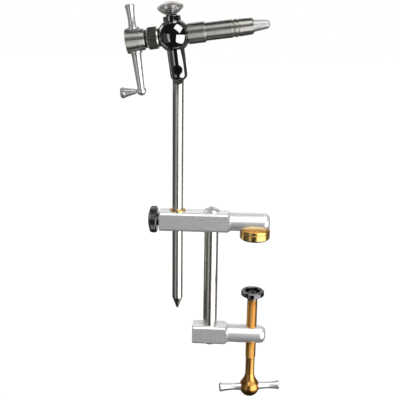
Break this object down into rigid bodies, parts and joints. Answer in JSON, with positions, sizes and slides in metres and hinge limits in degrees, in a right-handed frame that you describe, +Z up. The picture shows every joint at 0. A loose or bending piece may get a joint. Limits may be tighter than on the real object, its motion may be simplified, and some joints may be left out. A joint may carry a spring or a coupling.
{
  "type": "fly tying vise",
  "caption": "Rotary fly tying vise on a table clamp, with a tilting ball head, a steel stem, a crank and hook jaws.",
  "frame": {"origin": "centre of the fixed brass pad's underside, where it rests on the table", "axes": "+Z up along the stem, +X from the stem towards the jaws and the clamp screw, +Y to the back"},
  "size_m": [0.148, 0.0278, 0.3606],
  "materials": {
    "satin_aluminium": "satin",
    "polished_steel": "polished",
    "brushed_steel": "finely turned",
    "knurled_steel": "knurled",
    "brass": "polished",
    "bronze": "plain",
    "chrome": "polished",
    "black_nickel": "gloss",
    "black_knob": "satin",
    "black_screw": "satin",
    "bright_screw": "plain",
    "spring_steel": "plain",
    "rubber": "matt",
    "nylon": "plain"
  },
  "bodies": {
    "clamp": {"upper_arm": "satin_aluminium", "lower_arm": "satin_aluminium", "clamp_post": "polished_steel", "post_top_screw": "polished_steel", "post_bottom_screw": "black_screw", "fixed_pad": "brass"},
    "clamp_pad": {"cup_pad": "black_nickel"},
    "clamp_screw": {"clamp_screw": "brass", "clamp_handle": "chrome", "cup_pad_screw": "black_screw"},
    "stem_bush": {"stem_bush": "brass"},
    "lock_shoe": {"lock_shoe": "brass"},
    "stem_lock": {"stem_lock_screw": "bright_screw", "stem_lock_knob": "black_knob"},
    "stem": {"stem": "polished_steel"},
    "head": {"head_housing": "black_nickel", "housing_bushings": "bronze", "tilt_screw": "black_screw"},
    "drag_shoe": {"drag_shoe": "nylon"},
    "drag": {"drag_screw": "bright_screw", "drag_knob": "chrome"},
    "rotary": {"jaw_sleeve": "brushed_steel", "sleeve_nose": "brushed_steel", "knurled_collar": "knurled_steel", "collar_screw": "black_screw", "rubber_ring": "rubber", "key_screw": "black_screw", "return_spring": "spring_steel"},
    "hub": {"draw_hub": "brushed_steel", "jaw_lever": "chrome", "crank_arm": "chrome", "crank_knob_pin": "bright_screw"},
    "crank_knob": {"crank_knob": "chrome"},
    "drawbar": {"drawbar": "polished_steel", "jaw_spring": "spring_steel"},
    "upper_jaw": {"upper_jaw": "brushed_steel"},
    "lower_jaw": {"lower_jaw": "brushed_steel"}
  },
  "joints": [
    {"name": "pad_travel", "type": "slide", "parent": "clamp", "child": "clamp_pad", "axis": [0, 0, 1], "range_m": [-0.02539, 0.02751]},
    {"name": "screw_turn", "type": "hinge", "parent": "clamp_pad", "child": "clamp_screw", "pos_m": [0, 0, -0.0933], "axis": [0, 0, 1], "range_deg": [-8641, 9361]},
    {"name": "stem_swivel", "type": "hinge", "parent": "clamp", "child": "stem_bush", "pos_m": [-0.06935, 0, 0.0156], "axis": [0, 0, 1], "continuous": true},
    {"name": "stem_height", "type": "slide", "parent": "stem_bush", "child": "stem", "axis": [0, 0, 1], "range_m": [-0.09, 0.045]},
    {"name": "lock_travel", "type": "slide", "parent": "clamp", "child": "lock_shoe", "axis": [-1, 0, 0], "range_m": [0, 0.00254]},
    {"name": "lock_turn", "type": "hinge", "parent": "lock_shoe", "child": "stem_lock", "pos_m": [-0.0854, 0, 0.0156], "axis": [-1, 0, 0], "range_deg": [0, 721]},
    {"name": "head_tilt", "type": "hinge", "parent": "stem", "child": "head", "pos_m": [-0.06935, 0, 0.1478], "axis": [0, -1, 0], "range_deg": [-45, 30]},
    {"name": "drag_travel", "type": "slide", "parent": "head", "child": "drag_shoe", "axis": [-0.1305, 0, 0.9914], "range_m": [0, 0.0014]},
    {"name": "drag_turn", "type": "hinge", "parent": "drag_shoe", "child": "drag", "pos_m": [-0.07522, 0, 0.19242], "axis": [-0.1305, 0, 0.9914], "range_deg": [0, 721]},
    {"name": "head_rotation", "type": "hinge", "parent": "head", "child": "rotary", "pos_m": [-0.073, 0, 0.17556], "axis": [0.9914, 0, 0.1305], "continuous": true},
    {"name": "hub_turn", "type": "hinge", "parent": "rotary", "child": "hub", "pos_m": [-0.0972, 0, 0.17238], "axis": [-0.9914, 0, -0.1305], "range_deg": [0, 90]},
    {"name": "jaw_feed", "type": "slide", "parent": "rotary", "child": "drawbar", "axis": [0.9914, 0, 0.1305], "range_m": [0, 0.00241]},
    {"name": "upper_jaw_open", "type": "hinge", "parent": "drawbar", "child": "upper_jaw", "pos_m": [-0.02898, 0, 0.18136], "axis": [0, -1, 0], "range_deg": [0, 1.21]},
    {"name": "lower_jaw_open", "type": "hinge", "parent": "drawbar", "child": "lower_jaw", "pos_m": [-0.02898, 0, 0.18136], "axis": [0, 1, 0], "range_deg": [0, 1.21]},
    {"name": "crank_knob_spin", "type": "hinge", "parent": "hub", "child": "crank_knob", "pos_m": [-0.10898, 0, 0.12856], "axis": [0.9914, 0, 0.1305], "continuous": true}
  ],
  "couplings": [
    {"joint": "screw_turn", "follows": "pad_travel", "rad_per_m": 5938.7},
    {"joint": "lock_turn", "follows": "lock_travel", "rad_per_m": 4947.4},
    {"joint": "drag_turn", "follows": "drag_travel", "rad_per_m": 8976},
    {"joint": "jaw_feed", "follows": "hub_turn", "m_per_rad": 0.0015279},
    {"joint": "upper_jaw_open", "follows": "hub_turn", "ratio": 0.013333},
    {"joint": "lower_jaw_open", "follows": "hub_turn", "ratio": 0.013333}
  ]
}
